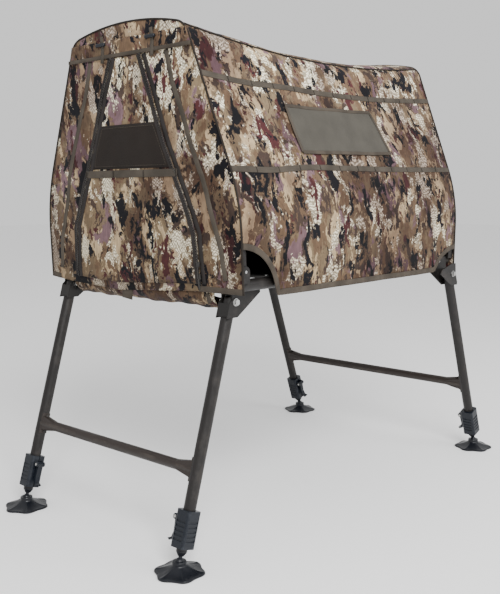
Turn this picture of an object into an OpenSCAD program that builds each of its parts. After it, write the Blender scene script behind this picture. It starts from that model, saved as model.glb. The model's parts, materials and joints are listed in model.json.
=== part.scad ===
// Raised folding field blind: a fabric cabin on two folding bows, carried by a
// steel-tube platform with two folding leg frames, telescoping legs and swivel feet.
// Millimetres. Ground at Z = 0, door end towards -Y, origin under the middle.

/* [Platform] */
// Half of the distance between the two side rail axes
rail_x = 293; // [285:1:300]
// Half length of the side rails
rail_half_len = 418; // [416:1:419]
// Height of the rail axes above the ground
rail_z = 556; // [555:0.5:557]
// Outer diameter of the rails and leg tubes
tube_d = 25.4; // [25:0.1:25.4]
// Wall of the rails and leg tubes
tube_wall = 1.5; // [1.2:0.1:1.5]
// Distance of the two cross tubes from the middle
cross_y = 135; // [110:5:160]
// Thickness of the deck sheet
deck_t = 2.2; // [1.6:0.1:2.4]

/* [Legs] */
// Height of the leg pivots
leg_pivot_z = 522; // [521:0.5:523]
// Distance of the feet from the middle, along the length
foot_y = 560; // [555:1:565]
// Outward lean of the front legs
front_splay = 16.8; // [16:0.1:18]
// Outward lean of the rear legs
rear_splay = 19.5; // [18.5:0.1:20.5]
// Crossbar distance below the leg pivot, along the leg
crossbar_down = 342; // [320:1:360]
// Outer diameter of the crossbars
crossbar_d = 22; // [20:0.5:22.2]
// Outer diameter of the telescoping lower tubes
inner_d = 22.2; // [22:0.05:22.2]
// Diameter of the ball on each lower leg
ball_d = 18; // [17:0.5:18]
// Diameter of each mud foot over its petals
foot_d = 104; // [96:2:106]

/* [Cabin] */
// Half width of the cabin at its base
half_w = 316; // [315:0.5:317]
// Height of the cabin's lower edge
hem_z = 530; // [529:1:533]
// Height where the side walls start to lean in
bend_z = 650; // [640:5:660]
// Radius of that bend
bend_r = 417; // [380:1:440]
// Lean of the upper side walls
side_lean = 21.1; // [20:0.1:22]
// Height where the shoulders start
shoulder_z = 1055; // [1050:1:1058]
// Outside radius of the shoulders
shoulder_r = 45; // [42:1:48]
// Slope of the roof where it meets the shoulders
crown_a = 12.3; // [8:0.1:14]
// Sag of the roof midway between the bows
roof_sag = 32; // [20:1:38]
// Thickness of the cabin fabric
skin_t = 2; // [1.6:0.1:2.4]
// Diameter of the bow tubes
bow_d = 19; // [18:0.5:19]
// Wall of the bow tubes
bow_wall = 1.2; // [1:0.1:1.5]
// Distance of the bow pivots from the middle, along the length
bow_y = 412; // [411:0.5:412]
// Height of the bow pivots
bow_pivot_z = 585; // [585:0.5:587]
// Outward lean of the bows
bow_lean = 2; // [1.5:0.1:2.2]

/* [Hidden] */
$fn = 48;

tube_r = tube_d / 2;
bore_r = tube_r - tube_wall;
side_gap = 0.6;
plate_t = 2.5;
clevis_half = tube_r + side_gap + plate_t;
front_leg_x = rail_x - tube_r - clevis_half;
rear_leg_x = rail_x + tube_r + clevis_half;
ball_z = 22;
ball_r = ball_d / 2;
petals = 6;
weld_gap = 0.2;
fit_gap = 0.05;
bolt_r = 4;
bow_pin_r = 3;
end_rail_y = 405;
rivet_r = 2.5;

// Lock body: heights above the ball, along the leg
lock_lo = 28;
lock_hi = 102;
lock_half = 18;
sleeve_end = 40;
lever_up = 84;
lever_out = 25;
pin_r = 2;

// Bows and fabric
bow_r = bow_d / 2;
bow_in = 15.1;
bow_x = half_w - bow_in;
wall_in = 12.5;
band_lo = 1031;
band_hi = 1068;
door_top = 1029.5;
door_bottom = 547;
flap_gap = 0.5;
door_lap = 6;
roof_rows = 12;
sag_lo = 700;

function lerp(a, b, k) = a + (b - a) * k;
function pivot_y(splay) = foot_y - (leg_pivot_z - ball_z) * tan(splay);
function leg_len(splay) = (leg_pivot_z - ball_z) / cos(splay);

// Cabin outline, half of it, seen along the length. A point is [x, z], moved inward by off.
bend_cx = half_w - bend_r;
bend_end = [bend_cx + bend_r * cos(side_lean), bend_z + bend_r * sin(side_lean)];
shoulder_x = bend_end[0] - (shoulder_z - bend_end[1]) * tan(side_lean);
shoulder_c = [shoulder_x - shoulder_r * cos(side_lean), shoulder_z - shoulder_r * sin(side_lean)];
crown_start = 90 - crown_a;
crown_x = shoulder_c[0] + shoulder_r * cos(crown_start);
crown_r = crown_x / cos(crown_start);
crown_cz = shoulder_c[1] + shoulder_r * sin(crown_start) - crown_r * sin(crown_start);
function on_arc(c, r, a) = [c[0] + r * cos(a), c[1] + r * sin(a)];
function outline(off) = concat(
  [for (k = [0:3]) [half_w - off, lerp(hem_z, bend_z, k / 3)]],
  [for (k = [1:4]) on_arc([bend_cx, bend_z], bend_r - off, side_lean * k / 4)],
  let (a = on_arc([bend_cx, bend_z], bend_r - off, side_lean),
       b = on_arc(shoulder_c, shoulder_r - off, side_lean))
    [for (k = [1:4]) [lerp(a[0], b[0], k / 4), lerp(a[1], b[1], k / 4)]],
  [for (k = [1:4]) on_arc(shoulder_c, shoulder_r - off, lerp(side_lean, crown_start, k / 4))],
  [for (k = [1:4]) on_arc([0, crown_cz], crown_r - off, lerp(crown_start, 90, k / 4))]
);
seam_i = 13;
crown_i = 19;
function flip(list) = [for (k = [len(list) - 1:-1:0]) list[k]];
function mirror_x(list) = [for (p = list) [-p[0], p[1]]];
// A half outline that ends on the middle line, carried on to the other side
function both_sides(half) = concat(half, mirror_x(flip([for (i = [0:len(half) - 2]) half[i]])));

// Half length of the fabric at a height, and the sag of the roof along the length
function end_y(z) = bow_y + (z - bow_pivot_z) * tan(bow_lean) + wall_in - 0.4;
function sag_share(z) = pow(max(0, min(1, (z - sag_lo) / (crown_cz + crown_r - sag_lo))), 1.5);
function skin_pt(p, t) = [p[0], t * end_y(p[1]), p[1] - roof_sag * (1 - t * t) * sag_share(p[1])];

// A closed shell between two grids of points of the same size
function quad_faces(m, n, base, turn) = [
  for (j = [0:m - 1], i = [0:n - 1])
    let (a = base + j * (n + 1) + i, b = a + 1, c = b + n + 1, d = a + n + 1)
      each turn ? [[a, c, b], [a, d, c]] : [[a, b, c], [a, c, d]]
];
function strip(list, base) = [
  for (k = [0:len(list) - 2])
    let (a = list[k], b = list[k + 1])
      each [[a, a + base, b + base], [a, b + base, b]]
];
module shell(outer, inner) {
  m = len(outer) - 1;
  n = len(outer[0]) - 1;
  base = (m + 1) * (n + 1);
  rim = concat(
    [for (i = [0:n]) i],
    [for (j = [1:m]) j * (n + 1) + n],
    [for (i = [n - 1:-1:0]) m * (n + 1) + i],
    [for (j = [m - 1:-1:0]) j * (n + 1)]
  );
  points = concat([for (row = outer) each row], [for (row = inner) each row]);
  polyhedron(points, concat(quad_faces(m, n, 0, false), quad_faces(m, n, base, true), strip(rim, base)));
}
module skin(i0, i1) {
  o = outline(0);
  n = outline(skin_t);
  ts = [for (k = [0:roof_rows]) 2 * k / roof_rows - 1];
  shell(
    [for (t = ts) [for (i = [i0:i1]) skin_pt(o[i], t)]],
    [for (t = ts) [for (i = [i0:i1]) skin_pt(n[i], t)]]
  );
}

// Frames of reference
module on_side(s) {
  if (s > 0) children();
  else mirror([1, 0, 0]) children();
}
module at_end(e) {
  if (e < 0) children();
  else mirror([0, 1, 0]) children();
}
// Leg frame: origin at the pivot, -Z down the leg, +Y inboard. e is -1 at the front, 1 at the rear.
function splay_of(e) = e < 0 ? front_splay : rear_splay;
function leg_x(e) = e < 0 ? front_leg_x : rear_leg_x;
module leg_frame(e) {
  at_end(e) translate([0, -pivot_y(splay_of(e)), leg_pivot_z]) rotate([-splay_of(e), 0, 0]) children();
}
module bow_frame(e) {
  at_end(e) translate([0, -bow_y, bow_pivot_z]) rotate([bow_lean, 0, 0]) children();
}
module pipe(r, wall, h) {
  difference() {
    cylinder(r = r, h = h);
    translate([0, 0, -1]) cylinder(r = r - wall, h = h + 2);
  }
}
module along_y(x, z) { translate([x, 0, z]) rotate([90, 0, 0]) children(); }
module along_x(y, z) { translate([0, y, z]) rotate([0, 90, 0]) children(); }
module rail_bars(r = tube_r) {
  for (s = [-1, 1]) along_y(s * rail_x, rail_z) cylinder(r = r, h = 3 * rail_half_len, center = true);
}
module yz_plate(x, t, points) {
  translate([x, 0, 0]) rotate([90, 0, 90]) linear_extrude(t) polygon(points);
}
module xz_plate(y, t, points) {
  translate([0, y, 0]) rotate([90, 0, 0]) linear_extrude(t) polygon(points);
}

// Platform
module side_rail(s) {
  color("#3a332e") along_y(s * rail_x, rail_z) translate([0, 0, -rail_half_len])
    pipe(tube_r, tube_wall, 2 * rail_half_len);
}
module end_rail(e) {
  color("#3a332e") difference() {
    along_x(e * end_rail_y, rail_z) translate([0, 0, -rail_x]) pipe(tube_r, tube_wall, 2 * rail_x);
    rail_bars(tube_r + weld_gap);
  }
}
module deck_cross_tubes() {
  color("#3a332e") for (e = [-1, 1]) difference() {
    along_x(e * cross_y, rail_z) translate([0, 0, -rail_x]) pipe(bow_r, bow_wall, 2 * rail_x);
    rail_bars();
  }
}
module rail_end_caps() {
  color("#1d1d1f") for (s = [-1, 1], e = [-1, 1]) at_end(e) along_y(s * rail_x, rail_z) {
    translate([0, 0, rail_half_len]) cylinder(r = tube_r, h = 2.4);
    translate([0, 0, rail_half_len - 12]) cylinder(r = bore_r, h = 12);
  }
}
deck_z = rail_z + tube_r;
screw_y = [for (k = [-2.5:1:2.5]) k * 132];
module deck_screw_grid() {
  for (s = [-1, 1], y = screw_y) translate([s * rail_x, y, deck_z]) children();
}
module deck_sheet() {
  corner = [rail_x - 7, 390];
  edge = [rail_x + 7, end_rail_y + 5];
  color("#1c1b1a") difference() {
    translate([0, 0, deck_z]) linear_extrude(deck_t) polygon([
      [-corner[0], -edge[1]], [corner[0], -edge[1]], [corner[0], -corner[1]], [edge[0], -corner[1]],
      [edge[0], corner[1]], [corner[0], corner[1]], [corner[0], edge[1]], [-corner[0], edge[1]],
      [-corner[0], corner[1]], [-edge[0], corner[1]], [-edge[0], -corner[1]], [-corner[0], -corner[1]]
    ]);
    deck_screw_grid() cylinder(r = 2, h = 9, center = true);
  }
}
module deck_screws() {
  color("silver") deck_screw_grid() {
    translate([0, 0, 0.3]) cylinder(r = 2, h = deck_t - 0.3);
    translate([0, 0, deck_t]) cylinder(r = 4.5, h = 1.6);
  }
}

// Leg brackets: a folded plate with two cheeks and a web that stops the leg
bracket_drop = -31;
inner_cheek = [
  [-25.6, bracket_drop], [6, bracket_drop], [75, 14], [75, 44], [20, 44], [-9, 24], [-9, 6], [-16.4, 0]
];
rear_cheek = [[-25.6, bracket_drop], [6, bracket_drop], [70, 8], [75, 44], [-11, 44], [-16.4, 0]];
rear_outer = [[-25.6, bracket_drop], [6, bracket_drop], [64, 4], [56, 14], [6, 27], [-14, 27], [-16.4, 0]];
web_in = tube_r + 0.3;
bracket_rivet_y = [24, 62];
module bracket_holes(e) {
  along_x(0, 0) cylinder(r = bolt_r, h = 100, center = true);
  for (y = bracket_rivet_y) along_x(y, rail_z - leg_pivot_z) cylinder(r = rivet_r, h = 100, center = true);
}
module leg_bracket(e, s) {
  px = pivot_y(splay_of(e));
  inner_pts = e < 0 ? inner_cheek : rear_cheek;
  outer_pts = e < 0 ? inner_cheek : rear_outer;
  color("#2b2724") on_side(s) difference() {
    at_end(e) translate([leg_x(e), -px, leg_pivot_z]) difference() {
      union() {
        yz_plate(-clevis_half, plate_t, inner_pts);
        yz_plate(clevis_half - plate_t, plate_t, outer_pts);
        rotate([-splay_of(e), 0, 0]) translate([-clevis_half, -web_in - plate_t, -33])
          cube([2 * clevis_half, plate_t, 27]);
      }
      bracket_holes(e);
    }
    along_x(e * end_rail_y, rail_z) cylinder(r = tube_r, h = 2 * rail_x, center = true);
  }
}
// Rivets that tie each bracket to its side rail
module bracket_rivets() {
  color("silver") for (s = [-1, 1], e = [-1, 1]) on_side(s) at_end(e) {
    face = rail_x + e * tube_r;
    for (y = bracket_rivet_y) translate([face, y - pivot_y(splay_of(e)), rail_z]) rotate([0, e * 90, 0]) {
      translate([0, 0, 0.2]) cylinder(r = rivet_r, h = plate_t - 0.2);
      translate([0, 0, plate_t]) cylinder(r = 4, h = 1.8);
    }
  }
}
module at_leg_pivots() {
  for (s = [-1, 1], e = [-1, 1]) on_side(s) at_end(e)
    translate([leg_x(e), -pivot_y(splay_of(e)), leg_pivot_z]) rotate([0, 90, 0]) children();
}
module leg_pivot_bolts() {
  color("silver") at_leg_pivots() {
    translate([0, 0, -clevis_half - 9]) cylinder(r = bolt_r, h = 2 * clevis_half + 9);
    translate([0, 0, clevis_half]) cylinder(r = 8, h = 1.4);
    translate([0, 0, clevis_half + 1.4]) cylinder(r = 6.6, h = 4.6, $fn = 6);
  }
}
module leg_pivot_nuts() {
  color("silver") at_leg_pivots() translate([0, 0, -clevis_half - 7]) difference() {
    cylinder(r = 7.4, h = 7, $fn = 6);
    translate([0, 0, -1]) cylinder(r = bolt_r, h = 9);
  }
}
// Bow brackets: a saddle on the rail with two ears round the bow's end
ear_t = 1.8;
ear_gap = 0.3;
ear_half = bow_r + ear_gap + ear_t;
ear_r = 11;
module bow_brackets() {
  color("#2b2724") for (s = [-1, 1], e = [-1, 1]) on_side(s) at_end(e) difference() {
    translate([bow_x - ear_half, -bow_y, 0]) {
      translate([0, -ear_r, rail_z + 5]) cube([2 * ear_half, 2 * ear_r, 10]);
      for (x = [0, 2 * ear_half - ear_t]) translate([x, 0, 0]) {
        translate([0, -ear_r, rail_z + 14]) cube([ear_t, 2 * ear_r, bow_pivot_z - rail_z - 14]);
        translate([0, 0, bow_pivot_z]) rotate([0, 90, 0]) cylinder(r = ear_r, h = ear_t);
      }
    }
    rail_bars();
    along_x(-end_rail_y, rail_z) cylinder(r = tube_r + weld_gap, h = 2 * rail_x, center = true);
    translate([0, -bow_y, bow_pivot_z]) rotate([0, 90, 0]) cylinder(r = bow_pin_r, h = 2 * rail_x);
  }
}
module bow_pivot_pins() {
  color("silver") for (s = [-1, 1], e = [-1, 1]) on_side(s) at_end(e)
    translate([bow_x - ear_half, -bow_y, bow_pivot_z]) rotate([0, 90, 0]) {
      cylinder(r = bow_pin_r, h = 2 * ear_half);
      translate([0, 0, -2.6]) cylinder(r = 5.5, h = 2.6);
    }
}

// Cabin fabric carried by the platform
module front_skirt() {
  y0 = -end_rail_y;
  drop = [
    [-15, -30], [-8, -40], [6, -50], [24, -47], [50, -34],
    [49, -36.4], [24, -49.4], [5, -52.4], [-10, -42], [-17, -31]
  ];
  color("#8a7a5c") yz_plate(-232, 464, [for (p = drop) [y0 + p[0], rail_z + p[1]]]);
}
window_y = [-200, 127, 158, -190];
window_z = [938, 946, 837, 830];
module side_panel() {
  front_arch = [-430, 520, 110];
  rear_arch = [430, 440, 145];
  color("#93866a") difference() {
    skin(0, seam_i);
    for (a = [front_arch, rear_arch]) along_x(a[0], a[1]) cylinder(r = a[2], h = 4 * half_w, center = true);
    yz_plate(-2 * half_w, 4 * half_w, [[-185, 842], [144, 848], [118, 920], [-186, 915]]);
  }
}
// A patch on the leaning part of the side wall, from base points [y, z]
function wall_x(z) = bend_end[0] - (z - bend_end[1]) * tan(side_lean);
function on_wall(y, z, off) = skin_pt([wall_x(z) + off, z], y / end_y(z));
module side_windows() {
  rows = 6;
  corner = [for (k = [0:3]) [window_y[k], window_z[k]]];
  pts = [for (j = [0:rows]) [for (i = [0:rows])
    let (a = [for (c = [0, 1]) lerp(corner[0][c], corner[1][c], j / rows)],
         b = [for (c = [0, 1]) lerp(corner[3][c], corner[2][c], j / rows)])
      [lerp(b[0], a[0], i / rows), lerp(b[1], a[1], i / rows)]]];
  color("#5c584c") for (s = [-1, 1]) on_side(s) shell(
    [for (row = pts) [for (p = row) on_wall(p[0], p[1], 1.8)]],
    [for (row = pts) [for (p = row) on_wall(p[0], p[1], 0.4)]]
  );
}
function roof_arc(off) = both_sides([for (i = [seam_i:crown_i]) outline(off)[i]]);
module roof_panel() {
  o = roof_arc(0);
  n = roof_arc(skin_t);
  ts = [for (k = [0:roof_rows]) 2 * k / roof_rows - 1];
  color("#a39a82") shell(
    [for (t = ts) [for (p = o) skin_pt(p, t)]],
    [for (t = ts) [for (p = n) skin_pt(p, t)]]
  );
}

// Leg frames
module leg_tube(e, s) {
  len_down = leg_len(splay_of(e)) - sleeve_end;
  color("#3a332e") on_side(s) leg_frame(e) translate([leg_x(e), 0, 0]) difference() {
    intersection() {
      translate([0, 0, -len_down]) cylinder(r = tube_r, h = len_down + 20);
      union() {
        rotate([0, 90, 0]) cylinder(r = tube_r + weld_gap, h = 60, center = true);
        translate([-30, -30, -len_down - 1]) cube([60, 60, len_down + 1]);
      }
    }
    translate([0, 0, -len_down - 1]) cylinder(r = bore_r, h = len_down + 40);
    rotate([0, 90, 0]) cylinder(r = bolt_r + fit_gap, h = 60, center = true);
  }
}
saddle_t = 2;
saddle_h = 48;
flare_len = 46;
flare_r = 19;
saddle_half = tube_r * 0.8;
flare_half = saddle_half - 1;
rivet_up = 17;
rivet_head_r = 4.5;
module crossbar(e) {
  x = leg_x(e);
  color("#453c35") leg_frame(e) translate([0, 0, -crossbar_down]) difference() {
    union() {
      along_x(0, 0) cylinder(r = crossbar_d / 2, h = 2 * x, center = true);
      for (s = [-1, 1]) on_side(s) {
        intersection() {
          translate([x, 0, -saddle_h / 2]) cylinder(r = tube_r + saddle_t, h = saddle_h);
          translate([x - tube_r - 6, -saddle_half, -saddle_h / 2])
            cube([tube_r + 2, 2 * saddle_half, saddle_h]);
        }
        intersection() {
          translate([x - tube_r - flare_len, 0, 0]) rotate([0, 90, 0])
            cylinder(r1 = crossbar_d / 2 - 0.5, r2 = flare_r, h = flare_len + 4);
          translate([0, -flare_half, -saddle_h / 2]) cube([x, 2 * flare_half, saddle_h]);
        }
      }
    }
    for (s = [-1, 1]) translate([s * x, 0, 0]) cylinder(r = tube_r, h = 80, center = true);
    along_x(0, 0) cylinder(r = crossbar_d / 2 - 1.5, h = 2 * (x - tube_r - 6), center = true);
    crossbar_rivet_grid(e) {
      translate([0, 0, -5]) cylinder(r = rivet_r, h = 25);
      translate([0, 0, saddle_t]) cylinder(r = rivet_head_r + 0.7, h = 9);
    }
  }
}
module crossbar_rivet_grid(e) {
  for (s = [-1, 1], z = [-rivet_up, rivet_up]) on_side(s)
    translate([leg_x(e) - tube_r, 0, z]) rotate([0, -90, 0]) children();
}
module crossbar_rivets(e) {
  color("#191715") leg_frame(e) translate([0, 0, -crossbar_down]) crossbar_rivet_grid(e) {
    translate([0, 0, 0.3]) cylinder(r = rivet_r, h = saddle_t - 0.3);
    translate([0, 0, saddle_t]) cylinder(r = rivet_head_r, h = 1.8);
  }
}
// Heights inside the lock are measured up the leg from the ball
module ball_frame(e, s) {
  on_side(s) leg_frame(e) translate([leg_x(e), 0, -leg_len(splay_of(e))]) children();
}
module soft_square(half, r) {
  square([2 * half, 2 * (half - r)], center = true);
  square([2 * (half - r), 2 * half], center = true);
  for (x = [-1, 1], y = [-1, 1]) translate([x * (half - r), y * (half - r)]) circle(r);
}
lug_y = [6, 10.5];
module lock_body(e, s) {
  color("#23272e") ball_frame(e, s) difference() {
    union() {
      translate([0, 0, lock_lo]) linear_extrude(lock_hi - lock_lo) soft_square(lock_half, 6);
      for (y = [lug_y[0], -lug_y[1]]) translate([-lever_out, y, lever_up]) rotate([-90, 0, 0]) {
        cylinder(r = 6, h = lug_y[1] - lug_y[0]);
        translate([0, -6, 0]) cube([lever_out - tube_r, 12, lug_y[1] - lug_y[0]]);
      }
    }
    translate([0, 0, sleeve_end]) cylinder(r = tube_r, h = 90);
    translate([0, 0, lock_lo - 1]) cylinder(r = inner_d / 2 + 0.3, h = 30);
    for (k = [0:4], y = [-1, 1]) translate([-12, y * lock_half - 1.5, lock_lo + 14 + k * 9]) cube([24, 3, 4]);
    for (k = [0:4]) translate([lock_half - 1.5, -12, lock_lo + 14 + k * 9]) cube([3, 24, 4]);
    translate([-lever_out, 0, lever_up]) rotate([90, 0, 0]) cylinder(r = pin_r, h = 40, center = true);
    translate([-lock_half - 1, -1, lock_lo - 1]) cube([lock_half, 2, lock_hi]);
  }
}
module lock_pins(e) {
  color("silver") for (s = [-1, 1]) ball_frame(e, s) translate([-lever_out, 0, lever_up]) rotate([90, 0, 0]) {
    cylinder(r = pin_r, h = 2 * lug_y[1], center = true);
    for (z = [-lug_y[1] - 1.5, lug_y[1]]) translate([0, 0, z]) cylinder(r = 3.2, h = 1.5);
  }
}
module lever(e, s) {
  w = lug_y[0] - 0.4;
  arm = [
    [-3, 5.5], [4, 4], [5.6, -8], [5.2, -30], [1, -44], [-10, -50],
    [-14, -46.5], [-5, -42], [-1.6, -30], [-3.4, -8], [-5.5, 3]
  ];
  color("#20242b") ball_frame(e, s) translate([-lever_out, 0, lever_up]) difference() {
    union() {
      xz_plate(w, 2 * w, arm);
      rotate([90, 0, 0]) cylinder(r = 5.6, h = 2 * w, center = true);
    }
    rotate([90, 0, 0]) cylinder(r = pin_r + fit_gap, h = 40, center = true);
  }
}
neck_r = 4.2;
stud_z = 20;
stud_flange = 4;
stud_taper = 8;
inner_top = 300;
module lower_tube(e, s) {
  lo = stud_z + stud_flange;
  color("#2e2926") ball_frame(e, s) translate([0, 0, lo]) pipe(inner_d / 2, tube_wall, inner_top - lo);
}
module ball_stud(e, s) {
  color("#17181a") ball_frame(e, s) {
    sphere(r = ball_r);
    cylinder(r = neck_r, h = stud_z - stud_taper + 1);
    translate([0, 0, stud_z - stud_taper]) cylinder(r1 = 6, r2 = inner_d / 2, h = stud_taper);
    translate([0, 0, stud_z]) cylinder(r = inner_d / 2, h = stud_flange);
    translate([0, 0, stud_z + stud_flange]) cylinder(r = inner_d / 2 - tube_wall, h = 20);
  }
}
pad_r = 40;
pad_t = 4.4;
lobe_r = 18;
lobe_t = 3.6;
socket_r = 14;
module at_petals() { for (k = [0:petals - 1]) rotate([0, 0, 30 + k * 360 / petals]) children(); }
module foot(e, s) {
  lobe_at = foot_d / 2 - lobe_r;
  rib_end = foot_d / 2 - 4;
  color("#1b1c1e") on_side(s) at_end(e) translate([leg_x(e), -foot_y, 0]) difference() {
    union() {
      cylinder(r = pad_r, h = pad_t);
      at_petals() {
        translate([lobe_at, 0, 0]) cylinder(r = lobe_r, h = lobe_t);
        translate([0, 1.6, 0]) rotate([90, 0, 0]) linear_extrude(3.2)
          polygon([[0, 0], [rib_end, 0], [rib_end, pad_t + 0.4], [12, 17], [0, 17]]);
      }
      cylinder(r1 = pad_r - 4, r2 = socket_r - 2, h = 17.4);
      cylinder(r = socket_r, h = ball_z + 3);
    }
    translate([0, 0, ball_z]) sphere(r = ball_r + 0.3);
    at_petals() for (y = [-9, 9]) translate([lobe_at + 3, y, -1]) cylinder(r = 3, h = 12);
  }
}

// Bows: a tube swept along its centre line, drawn in the bow's own plane
bow_sides = 16;
half_path = concat([[bow_x, bow_pivot_z - 9]], [for (i = [3:crown_i]) outline(bow_in)[i]]);
bow_path = both_sides(half_path);
function bow_ring(i, r) =
  let (last = len(bow_path) - 1,
       d = bow_path[min(i + 1, last)] - bow_path[max(i - 1, 0)],
       n = [d[1], -d[0]] / norm(d))
    [for (k = [0:bow_sides - 1]) let (a = 360 * k / bow_sides)
      [bow_path[i][0] + r * cos(a) * n[0], r * sin(a), bow_path[i][1] + r * cos(a) * n[1] - bow_pivot_z]];
module bow_sweep() {
  last = len(bow_path) - 1;
  rings = [for (i = [0:last]) concat(bow_ring(i, bow_r), bow_ring(i, bow_r - bow_wall))];
  faces = [for (i = [0:last - 1], k = [0:bow_sides - 1])
    let (a = 2 * bow_sides * i + k, b = 2 * bow_sides * i + (k + 1) % bow_sides, up = 2 * bow_sides,
         c = b + bow_sides, d = a + bow_sides)
      each [[a, a + up, b + up], [a, b + up, b], [d, c + up, d + up], [d, c, c + up]]];
  ends = [for (i = [0, last], k = [0:bow_sides - 1])
    let (a = 2 * bow_sides * i + k, b = 2 * bow_sides * i + (k + 1) % bow_sides,
         c = b + bow_sides, d = a + bow_sides)
      each i == 0 ? [[a, b, c], [a, c, d]] : [[a, c, b], [a, d, c]]];
  polyhedron([for (ring = rings) each ring], concat(faces, ends));
}
module bow_tube(e) {
  color("#3a332e") bow_frame(e) difference() {
    bow_sweep();
    rotate([0, 90, 0]) cylinder(r = bow_pin_r + fit_gap, h = 3 * half_w, center = true);
  }
}
cabin_face = [for (p = both_sides(outline(0))) [p[0], p[1] - bow_pivot_z]];
// Door outline, right half: it widens downwards between its two zips
door_half = [[48, door_top], [90, 924], [120, 838], [150, 771], [180, 702], [198, 660], [204, door_bottom]];
function door_face(lap) = [
  for (p = concat(door_half, mirror_x(flip(door_half))))
    [p[0] - sign(p[0]) * lap, max(door_bottom + lap, min(door_top - lap, p[1])) - bow_pivot_z]
];
module front_wall() {
  color("#8d7f63") bow_frame(-1) difference() {
    xz_plate(-wall_in, skin_t, cabin_face);
    xz_plate(-wall_in + 1, skin_t + 2, door_face(door_lap));
  }
}
flap_y = wall_in + skin_t + flap_gap;
module top_band() {
  half = [band_lo, band_hi];
  color("#85775b") bow_frame(-1) xz_plate(-wall_in - skin_t, skin_t + flap_gap, [
    [-198, half[0] - bow_pivot_z], [198, half[0] - bow_pivot_z],
    [186, half[1] - bow_pivot_z], [-186, half[1] - bow_pivot_z]
  ]);
}
module door_panel() {
  color("#9a8a66") bow_frame(-1) xz_plate(-flap_y, skin_t, door_face(0));
}
module door_patch() {
  color("#4a3f33") bow_frame(-1) xz_plate(-flap_y - skin_t, 1.2, [
    [-128, 794 - bow_pivot_z], [128, 794 - bow_pivot_z], [91, 888 - bow_pivot_z], [-91, 888 - bow_pivot_z]
  ]);
}
module rear_wall() {
  color("#8d7f63") bow_frame(1) xz_plate(-wall_in, skin_t, cabin_face);
}

side_rail(-1);  // left_side_rail
side_rail(1);  // right_side_rail
end_rail(-1);  // front_rail
end_rail(1);  // rear_rail
deck_cross_tubes();
rail_end_caps();
deck_sheet();
deck_screws();
leg_bracket(-1, -1);  // front_left_leg_bracket
leg_bracket(-1, 1);  // front_right_leg_bracket
leg_bracket(1, -1);  // rear_left_leg_bracket
leg_bracket(1, 1);  // rear_right_leg_bracket
bracket_rivets();
leg_pivot_bolts();
leg_pivot_nuts();
bow_brackets();
bow_pivot_pins();
roof_panel();
on_side(-1) side_panel();  // left_side_panel
side_panel();  // right_side_panel
side_windows();
front_skirt();
leg_tube(-1, -1);  // front_left_leg_tube
leg_tube(-1, 1);  // front_right_leg_tube
crossbar(-1);  // front_crossbar
crossbar_rivets(-1);  // front_crossbar_rivets
lock_body(-1, -1);  // front_left_lock_body
lock_body(-1, 1);  // front_right_lock_body
lock_pins(-1);  // front_lock_pins
leg_tube(1, -1);  // rear_left_leg_tube
leg_tube(1, 1);  // rear_right_leg_tube
crossbar(1);  // rear_crossbar
crossbar_rivets(1);  // rear_crossbar_rivets
lock_body(1, -1);  // rear_left_lock_body
lock_body(1, 1);  // rear_right_lock_body
lock_pins(1);  // rear_lock_pins
lever(-1, -1);  // front_left_lever
lever(-1, 1);  // front_right_lever
lever(1, -1);  // rear_left_lever
lever(1, 1);  // rear_right_lever
lower_tube(-1, -1);  // front_left_lower_tube
lower_tube(-1, 1);  // front_right_lower_tube
lower_tube(1, -1);  // rear_left_lower_tube
lower_tube(1, 1);  // rear_right_lower_tube
ball_stud(-1, -1);  // front_left_ball_stud
ball_stud(-1, 1);  // front_right_ball_stud
ball_stud(1, -1);  // rear_left_ball_stud
ball_stud(1, 1);  // rear_right_ball_stud
foot(-1, -1);  // front_left_foot
foot(-1, 1);  // front_right_foot
foot(1, -1);  // rear_left_foot
foot(1, 1);  // rear_right_foot
bow_tube(-1);  // front_bow_tube
front_wall();
top_band();
door_panel();
door_patch();
bow_tube(1);  // rear_bow_tube
rear_wall();
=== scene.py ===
"""Looks for the raised folding field blind: fabric cabin, webbing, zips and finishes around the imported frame."""
import json
import math

import bmesh
import bpy
import numpy as np
from mathutils import Matrix, Vector, noise


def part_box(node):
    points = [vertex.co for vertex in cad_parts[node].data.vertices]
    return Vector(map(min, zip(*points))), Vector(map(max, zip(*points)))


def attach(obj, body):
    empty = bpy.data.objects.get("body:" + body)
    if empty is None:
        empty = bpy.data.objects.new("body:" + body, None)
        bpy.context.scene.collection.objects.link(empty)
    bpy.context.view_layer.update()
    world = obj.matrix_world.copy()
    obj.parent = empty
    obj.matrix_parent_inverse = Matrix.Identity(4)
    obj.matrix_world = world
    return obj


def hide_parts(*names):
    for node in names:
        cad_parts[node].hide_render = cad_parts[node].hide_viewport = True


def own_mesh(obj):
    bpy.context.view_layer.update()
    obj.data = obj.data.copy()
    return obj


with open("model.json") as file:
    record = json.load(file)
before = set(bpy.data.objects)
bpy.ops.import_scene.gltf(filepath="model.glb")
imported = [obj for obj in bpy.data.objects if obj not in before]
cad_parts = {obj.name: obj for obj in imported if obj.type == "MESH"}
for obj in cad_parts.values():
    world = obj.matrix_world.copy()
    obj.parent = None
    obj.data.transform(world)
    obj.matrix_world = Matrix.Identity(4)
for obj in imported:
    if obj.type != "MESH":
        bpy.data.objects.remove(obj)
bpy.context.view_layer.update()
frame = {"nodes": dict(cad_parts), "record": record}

FRONT, REAR = -1, 1

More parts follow.
